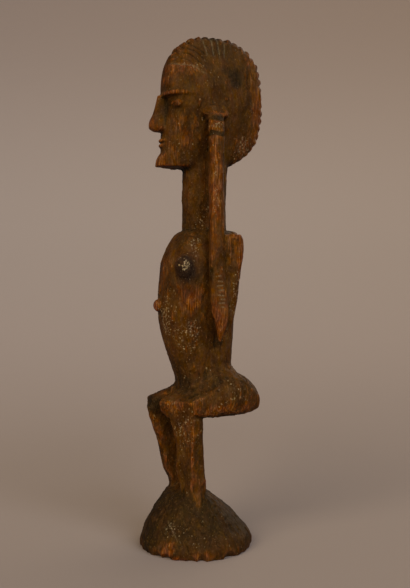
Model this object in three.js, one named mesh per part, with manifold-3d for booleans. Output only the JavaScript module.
// A carved wooden figure, all one piece of wood: it half sits on bent legs over a conical base,
// with long thin arms folded at the elbow and both hands raised to the sides of a crested head.
// Millimetres, +Z up. The figure faces -Y and its left side is +X.
// The origin is the middle of the flat underside.
import * as THREE from "three";
import { mergeVertices } from "three/addons/utils/BufferGeometryUtils.js";
import Module from "manifold-3d";

const wasm = await Module();
wasm.setup();

// Heights of the main levels, from the underside up.
const ANKLE = 26;
const KNEE = 67;
const SEAT = 72.5;
const WAIST = 82;
const ELBOW = 99.5;
const NAVEL = 116;
const BREAST = 134;
const SHOULDER = 151;
const CHIN = 182.5;
const WRIST = 196;
const TOP = 247;

// Base.
const BASE_RADIUS = 27;
const RIM_CHIPS = 17;
const CHIP_DEPTH = 1.5;

// Distances of the paired parts from the middle plane.
const LEG_OUT = 9.6;
const SHOULDER_OUT = 18.8;
const ELBOW_OUT = 21.8;
const WRIST_OUT = 16.8;
const FOREARM_RADIUS = 3.6;

// The carver's two sides differ a little.
const RIGHT_KNEE_FORWARD = 3;
const RIGHT_FOREARM_BACK = 2;

// Hair: an upright disc, thick in the middle, whose edge is cut into locks from brow to nape.
const HAIR_MIDDLE_Y = 6.8;
const HAIR_DEPTH = 27.2;
const HAIR_RISE = (TOP - CHIN) / 2;
const HAIR_MIDDLE_Z = TOP - HAIR_RISE;
const HAIR_HALF_THICKNESS = 11.5;
const RIM_HALF_THICKNESS = 5.4;
const LOCK_PITCH_DEG = 7.2;
const LOCKS_FROM_DEG = -62;
const LOCKS_TO_DEG = 150;
const NOTCH_DEPTH = 1;

// The face follows the usual thirds: hairline to brow, brow to nose base, nose base to chin.
const HAIRLINE = 233.5;
const FACE_THIRD = (HAIRLINE - CHIN) / 3;
const NOSE_BASE = CHIN + FACE_THIRD;
const BROW = NOSE_BASE + FACE_THIRD;
const MOUTH = CHIN + FACE_THIRD * 0.66;
const EYE = BROW - 5;
const FACE_FRONT = -17.5;

const SIDES = [-1, 1];
const DEGREES = Math.PI / 180;

const WOOD = new THREE.MeshStandardMaterial({ color: 0x5a3a1a, roughness: 0.55, metalness: 0 });

// Across each axis, the two directions in which a ring's half sizes are measured.
const RING_DIRECTIONS = {
  x: [new THREE.Vector3(0, 1, 0), new THREE.Vector3(0, 0, 1)],
  y: [new THREE.Vector3(0, 0, 1), new THREE.Vector3(1, 0, 0)],
  z: [new THREE.Vector3(1, 0, 0), new THREE.Vector3(0, 1, 0)],
};

// Turns a closed three.js geometry into a solid that can be joined and cut.
function solidOf(geometry) {
  geometry.deleteAttribute("normal");
  geometry.deleteAttribute("uv");
  const merged = mergeVertices(geometry, 1e-4);
  return new wasm.Manifold(
    new wasm.Mesh({
      numProp: 3,
      vertProperties: new Float32Array(merged.attributes.position.array),
      triVerts: new Uint32Array(merged.index.array),
    }),
  );
}

const joined = (solids) => solids.reduce((all, solid) => all.add(solid));

// A closed skin over a list of rings, each a list of points that run counter-clockwise about the
// direction from the first ring to the last. A cylinder lends its faces and its two end caps.
function skinOver(rings) {
  const around = rings[0].length;
  const rows = rings.length - 1;
  const geometry = new THREE.CylinderGeometry(1, 1, 1, around, rows);
  const position = geometry.attributes.position;
  const middles = rings.map((ring) =>
    ring.reduce((sum, p) => sum.add(p), new THREE.Vector3()).divideScalar(around),
  );
  const point = new THREE.Vector3();
  for (let i = 0; i < position.count; i++) {
    point.fromBufferAttribute(position, i);
    const row = Math.round((point.y + 0.5) * rows);
    const turn = Math.atan2(point.x, point.z) / (2 * Math.PI);
    const onAxis = Math.hypot(point.x, point.z) < 0.5;
    const place = onAxis ? middles[row] : rings[row][(Math.round(turn * around) + around) % around];
    position.setXYZ(i, place.x, place.y, place.z);
  }
  return solidOf(geometry);
}

// One point of a rounded rectangle: power 2 is an ellipse, and more is squarer.
function squircle(angle, power) {
  const soften = (v) => Math.sign(v) * Math.abs(v) ** (2 / power);
  return [soften(Math.cos(angle)), soften(Math.sin(angle))];
}

// A tapering limb or trunk. Each station has a middle point, two half sizes across the axis and a
// squareness, and splines through the stations give the rings between them.
function limb(axis, stations, around, rows) {
  const middles = new THREE.CatmullRomCurve3(stations.map((s) => new THREE.Vector3(...s.at)));
  const sizes = new THREE.CatmullRomCurve3(
    stations.map((s) => new THREE.Vector3(...s.half, s.square ?? 2.4)),
  );
  const [across, over] = RING_DIRECTIONS[axis];
  const rings = [];
  for (let row = 0; row <= rows; row++) {
    const middle = middles.getPoint(row / rows);
    const size = sizes.getPoint(row / rows);
    rings.push(
      Array.from({ length: around }, (_, k) => {
        const [a, b] = squircle(((k + 0.5) / around) * 2 * Math.PI, size.z);
        return middle
          .clone()
          .addScaledVector(across, a * size.x)
          .addScaledVector(over, b * size.y);
      }),
    );
  }
  return skinOver(rings);
}

// An egg of the given half sizes.
function egg([x, y, z], [halfX, halfY, halfZ], around = 10) {
  const geometry = new THREE.SphereGeometry(1, around, Math.round(around * 0.6));
  geometry.rotateX(Math.PI / 2);
  geometry.scale(halfX, halfY, halfZ);
  geometry.translate(x, y, z);
  return solidOf(geometry);
}

// A block of the given sizes, turned about its own middle by the angles in degrees.
function block([x, y, z], [sizeX, sizeY, sizeZ], [turnX, turnY, turnZ] = [0, 0, 0]) {
  const geometry = new THREE.BoxGeometry(sizeX, sizeY, sizeZ);
  geometry.rotateX(turnX * DEGREES);
  geometry.rotateY(turnY * DEGREES);
  geometry.rotateZ(turnZ * DEGREES);
  geometry.translate(x, y, z);
  return solidOf(geometry);
}

// A cone with bulging sides that leans forward to the ankles, on a flat underside. Knife chips
// are missing from the rim.
function base() {
  const cone = limb(
    "z",
    [
      { at: [0, 0, 0], half: [BASE_RADIUS - 0.8, BASE_RADIUS - 0.8], square: 2 },
      { at: [0, 0, 2], half: [BASE_RADIUS, BASE_RADIUS], square: 2 },
      { at: [0, 0.1, 6], half: [26.2, 26.2], square: 2 },
      { at: [0, -1.2, 10.9], half: [23.2, 23], square: 2 },
      { at: [0, -2, 15.7], half: [20, 19.6], square: 2 },
      { at: [0, -3, 19.9], half: [17.4, 16], square: 2 },
      { at: [0, -3.8, 23.1], half: [15.6, 12.8], square: 2.1 },
      { at: [0, -4.4, ANKLE], half: [13.8, 9], square: 2.2 },
      { at: [0, -4.6, ANKLE + 1.6], half: [10, 4], square: 2.2 },
    ],
    38,
    10,
  );
  const chips = Array.from({ length: RIM_CHIPS }, (_, k) => {
    const turn = (k + 0.35 * Math.sin(k * 2.1)) * (360 / RIM_CHIPS);
    const width = 5 + 2 * Math.sin(k * 3.7);
    const bite = CHIP_DEPTH * (1 + 0.5 * Math.sin(k * 5.3));
    const out = BASE_RADIUS - bite + 4.6;
    return block(
      [out * Math.cos(turn * DEGREES), out * Math.sin(turn * DEGREES), 0],
      [8, width, 5 + 2 * Math.sin(k * 1.7)],
      [0, 38, turn],
    );
  });
  return cone.subtract(joined(chips));
}

// A lower leg, from inside the base up to the knee. The right one slants more.
function lowerLeg(side) {
  const slant = side < 0 ? RIGHT_KNEE_FORWARD / (KNEE - 42) : 0;
  const at = (out, y, z) => [side * out, y - slant * (z - 42), z];
  return limb(
    "z",
    [
      { at: at(LEG_OUT - 1.2, -4.6, ANKLE - 5), half: [5.2, 5.2], square: 3 },
      { at: at(LEG_OUT - 0.9, -5.2, ANKLE + 4.5), half: [5, 5.5], square: 3 },
      { at: at(LEG_OUT - 0.6, -6.6, 37), half: [4.9, 6.1], square: 3 },
      { at: at(LEG_OUT - 0.3, -7.1, 45), half: [5, 5.9], square: 3 },
      { at: at(LEG_OUT, -8, 54), half: [5.3, 6.2], square: 3 },
      { at: at(LEG_OUT + 0.2, -9.6, 61.5), half: [5.6, 7.4], square: 3 },
      { at: at(LEG_OUT + 0.3, -11.4, KNEE), half: [5.4, 8], square: 3 },
    ],
    14,
    7,
  );
}

// A thigh, from the blunt knee back to the rounded seat.
function thigh(side) {
  return limb(
    "y",
    [
      { at: [side * (LEG_OUT + 0.5), -21.2, KNEE + 0.6], half: [3.4, 4.2], square: 3.4 },
      { at: [side * (LEG_OUT + 0.4), -19.6, KNEE + 0.6], half: [4.9, 5.6], square: 3.2 },
      { at: [side * (LEG_OUT + 0.2), -10, 69.8], half: [6.4, 7.1], square: 3 },
      { at: [side * (LEG_OUT - 0.3), 2, 71.8], half: [8, 9.2], square: 2.8 },
      { at: [side * (LEG_OUT - 0.8), 13, SEAT], half: [9, 10.7], square: 2.5 },
      { at: [side * (LEG_OUT - 1.2), 21, SEAT], half: [9, 9.8], square: 2.3 },
      { at: [side * (LEG_OUT - 1.6), 27, SEAT - 0.6], half: [7.3, 6.8], square: 2.2 },
      { at: [side * (LEG_OUT - 1.8), 29.6, SEAT - 1], half: [3, 2.8], square: 2 },
    ],
    16,
    12,
  );
}

// The trunk, with a deep chest that slopes up to the neck, low breasts and a knob of a navel.
function trunk() {
  const body = limb(
    "z",
    [
      { at: [0, 3.4, WAIST - 10], half: [12.6, 13.4] },
      { at: [0, 2.8, WAIST], half: [13, 14.2] },
      { at: [0, 1.5, 92], half: [14, 15.8] },
      { at: [0, 0.7, 105], half: [15.4, 17.4] },
      { at: [0, 0.1, 117], half: [16.4, 18.2] },
      { at: [0, -0.8, 128], half: [17, 17.8] },
      { at: [0, -0.6, 139], half: [16.4, 15.8] },
      { at: [0, 0.8, 146], half: [13.6, 13] },
      { at: [0, 3, SHOULDER - 0.5], half: [10, 9.6] },
      { at: [0, 4, SHOULDER + 2], half: [7.4, 8] },
    ],
    24,
    13,
  );
  const breasts = SIDES.map((side) => egg([side * 10.4, -11.6, BREAST], [5.4, 4.4, 6.8]));
  const navel = egg([0, -18.9, NAVEL], [3.2, 3.8, 4]);
  return joined([body, ...breasts, navel]);
}

function neck() {
  return limb(
    "z",
    [
      { at: [0, 4.9, SHOULDER - 9], half: [9, 10.6] },
      { at: [0, 4.8, SHOULDER + 4], half: [8.2, 10.4] },
      { at: [0, 4.7, 166], half: [7.8, 10.2] },
      { at: [0, 5, CHIN - 4], half: [8.2, 10.6] },
      { at: [0, 5.6, CHIN + 8], half: [9.5, 11.4] },
    ],
    16,
    4,
  );
}

// A straight bar across the back from one shoulder to the other.
function shoulderBar() {
  return limb(
    "x",
    [
      { at: [-SHOULDER_OUT - 2.4, 9.8, SHOULDER - 5.6], half: [5, 4.6], square: 3.2 },
      { at: [-SHOULDER_OUT, 9.8, SHOULDER - 5.4], half: [5.6, 5.2], square: 3 },
      { at: [0, 9, SHOULDER - 6], half: [7.4, 6], square: 2.6 },
      { at: [SHOULDER_OUT, 9.8, SHOULDER - 5.4], half: [5.6, 5.2], square: 3 },
      { at: [SHOULDER_OUT + 2.4, 9.8, SHOULDER - 5.6], half: [5, 4.6], square: 3.2 },
    ],
    12,
    6,
  );
}

// A folded arm. The flat upper arm hangs behind the forearm and both meet in a pointed elbow.
// The forearm lies on the ribs below the armpit and stands free beside the neck.
function arm(side) {
  const shift = side < 0 ? RIGHT_FOREARM_BACK : 0;
  const upperArm = limb(
    "z",
    [
      { at: [side * ELBOW_OUT, 4.4, ELBOW], half: [1.4, 1.8], square: 2.2 },
      { at: [side * (ELBOW_OUT - 0.8), 5.2, ELBOW + 4.5], half: [2.8, 3.8], square: 2.6 },
      { at: [side * (ELBOW_OUT - 1.4), 6.2, 117], half: [3.4, 4.9], square: 2.9 },
      { at: [side * (SHOULDER_OUT + 0.8), 7.8, 131], half: [3.8, 5.2], square: 3 },
      { at: [side * SHOULDER_OUT, 9.6, 144], half: [4.4, 5.9], square: 3.2 },
      { at: [side * (SHOULDER_OUT - 0.2), 9.8, SHOULDER - 1.6], half: [3.6, 4.8], square: 3 },
    ],
    14,
    9,
  );
  const forearm = limb(
    "z",
    [
      { at: [side * (ELBOW_OUT + 0.4), 3, ELBOW - 0.5], half: [1, 1.1], square: 2 },
      { at: [side * (ELBOW_OUT + 0.4), 3.1, ELBOW + 4], half: [2.8, 2.9], square: 2.2 },
      { at: [side * (ELBOW_OUT + 0.3), 3.5, 109.5], half: [3.5, 3.6] },
      { at: [side * ELBOW_OUT, 3.6, 124.5], half: [3.4, FOREARM_RADIUS] },
      { at: [side * (ELBOW_OUT - 0.8), 2.6 + shift * 0.5, 141.5], half: [3.6, FOREARM_RADIUS] },
      { at: [side * 19.2, 2.5 + shift, 161.5], half: [3.5, FOREARM_RADIUS] },
      { at: [side * (WRIST_OUT + 0.6), 3 + shift, 179.5], half: [3.4, FOREARM_RADIUS] },
      { at: [side * WRIST_OUT, 3.4 + shift, WRIST + 1], half: [3.5, FOREARM_RADIUS] },
    ],
    12,
    11,
  );
  return joined([upperArm, forearm, ...hand(side)]);
}

// A blunt hand laid flat on the side of the head, over a wrist with two bracelets.
function hand(side) {
  const y = side < 0 ? 4 + RIGHT_FOREARM_BACK * 0.6 : 4;
  const bracelet = (bottom, height, proud) =>
    limb(
      "z",
      [
        { at: [side * (WRIST_OUT - 0.9), y, bottom], half: [4 + proud, 3.6 + proud], square: 2.8 },
        {
          at: [side * (WRIST_OUT - 1.1), y, bottom + height],
          half: [4 + proud, 3.6 + proud],
          square: 2.8,
        },
      ],
      12,
      1,
    );
  const wrist = limb(
    "z",
    [
      { at: [side * (WRIST_OUT - 0.6), y - 0.4, WRIST], half: [3.6, 3.6] },
      { at: [side * (WRIST_OUT - 1.6), y + 0.8, WRIST + 11], half: [3.6, 4] },
    ],
    12,
    1,
  );
  const palm = limb(
    "z",
    [
      { at: [side * (WRIST_OUT - 2.6), y + 2, WRIST + 9.6], half: [4, 5.6], square: 2.8 },
      { at: [side * (WRIST_OUT - 3), y + 2.4, WRIST + 11.6], half: [4, 6.2], square: 2.8 },
      { at: [side * (WRIST_OUT - 3.8), y + 2.6, WRIST + 15], half: [3.4, 5.4], square: 2.6 },
      { at: [side * (WRIST_OUT - 5), y + 2.6, WRIST + 17], half: [2, 3.6], square: 2.4 },
    ],
    12,
    3,
  );
  return [wrist, bracelet(WRIST + 1.6, 1.4, 0.2), bracelet(WRIST + 4, 3.4, 0.6), palm];
}

function hair() {
  const pointsPerLock = 3;
  const around = Math.round((360 / LOCK_PITCH_DEG) * pointsPerLock);
  const layers = 8;
  const rings = [];
  for (let layer = 0; layer <= layers; layer++) {
    const x = -Math.cos((layer / layers) * Math.PI) * HAIR_HALF_THICKNESS;
    const pastRim = Math.max(0, Math.abs(x) - RIM_HALF_THICKNESS);
    const dome = pastRim / (HAIR_HALF_THICKNESS - RIM_HALF_THICKNESS);
    const scale = 1 - 0.035 * Math.abs(x / RIM_HALF_THICKNESS) - 0.65 * dome ** 1.3;
    const notched = Math.max(0, Math.min(1, 2.6 - Math.abs(x) / 2.8));
    rings.push(
      Array.from({ length: around }, (_, k) => {
        const angle = (k / around) * 360 - (k / around > 0.75 ? 360 : 0);
        const inLocks = angle > LOCKS_FROM_DEG && angle < LOCKS_TO_DEG;
        const lockWave = Math.abs(Math.sin((angle / LOCK_PITCH_DEG) * Math.PI));
        const notch = inLocks ? NOTCH_DEPTH * (1 - lockWave ** 0.7) * notched : 0;
        const squarer = Math.max(0, Math.cos((angle - 45) * DEGREES)) ** 3;
        const [y, z] = squircle(angle * DEGREES, 2 + 0.8 * squarer);
        return new THREE.Vector3(
          x,
          HAIR_MIDDLE_Y + y * (HAIR_DEPTH * scale - notch),
          HAIR_MIDDLE_Z + z * (HAIR_RISE * scale - notch),
        );
      }),
    );
  }
  const roomForFace = block([0, -30, HAIRLINE - 40], [40, 42, 78]);
  return skinOver(rings).subtract(roomForFace);
}

// A calm, plain face on even thirds: a narrow wedge with a straight nose, a ledge of a brow, thin
// lips and a short square beard.
function face() {
  const cheeks = limb(
    "z",
    [
      { at: [0, -4.2, CHIN], half: [6.4, 12.8], square: 2.6 },
      { at: [0, -3.8, CHIN + 5], half: [7.8, 13.6], square: 2.5 },
      { at: [0, -3.6, MOUTH + 3], half: [9.4, 13.8], square: 2.4 },
      { at: [0, -2.8, NOSE_BASE + 6], half: [11.4, 13.4], square: 2.4 },
      { at: [0, -2.2, EYE], half: [12.4, 13.2], square: 2.4 },
      { at: [0, -2, BROW + 2], half: [12.6, 15], square: 2.4 },
      { at: [0, -1, BROW + 9], half: [11.8, 15.4], square: 2.4 },
      { at: [0, 0.4, HAIRLINE - 1], half: [9.6, 14.6], square: 2.3 },
      { at: [0, 4, HAIRLINE + 4], half: [6, 11], square: 2.2 },
    ],
    20,
    8,
  );
  const browLedge = limb(
    "z",
    [
      { at: [0, -3, BROW - 1.4], half: [12.2, 13], square: 2.4 },
      { at: [0, -3, BROW - 0.6], half: [12.8, 15], square: 2.4 },
      { at: [0, -3, BROW + 2], half: [12.4, 14], square: 2.4 },
    ],
    20,
    2,
  );
  const nose = limb(
    "z",
    [
      { at: [0, FACE_FRONT - 1.8, NOSE_BASE], half: [3, 4.6], square: 2.6 },
      { at: [0, FACE_FRONT - 2, NOSE_BASE + 2.4], half: [3, 5.2], square: 2.4 },
      { at: [0, FACE_FRONT + 0.2, (NOSE_BASE + BROW) / 2], half: [2, 4.4], square: 2.6 },
      { at: [0, FACE_FRONT + 1.4, BROW], half: [1.8, 3.4], square: 2.6 },
    ],
    12,
    6,
  );
  const eyes = SIDES.map((side) => egg([side * 7.4, -12.2, EYE], [3.6, 2.6, 1.6]));
  const lips = SIDES.map((level) =>
    egg([0, FACE_FRONT + 1.8, MOUTH + level * 1.3], [3.8, 3.2, 1.3]),
  );
  const beard = limb(
    "z",
    [
      { at: [0, FACE_FRONT + 2, CHIN], half: [3.6, 5], square: 3 },
      { at: [0, FACE_FRONT + 2.2, CHIN + 4], half: [4.2, 4.2], square: 3 },
      { at: [0, FACE_FRONT + 3.6, CHIN + 8.6], half: [4, 2.6], square: 2.6 },
    ],
    12,
    3,
  );
  return joined([cheeks, browLedge, nose, ...eyes, ...lips, beard]);
}

// The joined solid as a three.js geometry.
function geometryOf(solid) {
  const { vertProperties, triVerts, numProp, numVert } = solid.getMesh();
  const corners = new Float32Array(numVert * 3);
  for (let i = 0; i < numVert; i++) {
    corners.set(vertProperties.subarray(i * numProp, i * numProp + 3), i * 3);
  }
  return new THREE.BufferGeometry()
    .setAttribute("position", new THREE.BufferAttribute(corners, 3))
    .setIndex(new THREE.BufferAttribute(triVerts, 1));
}

const wholeFigure = joined([
  base(),
  ...SIDES.map(lowerLeg),
  ...SIDES.map(thigh),
  trunk(),
  shoulderBar(),
  neck(),
  ...SIDES.map(arm),
  hair(),
  face(),
]);

const figure = new THREE.Mesh(geometryOf(wholeFigure), WOOD);
figure.name = "carved_figure";

const group = new THREE.Group();
group.add(figure);

export default group;
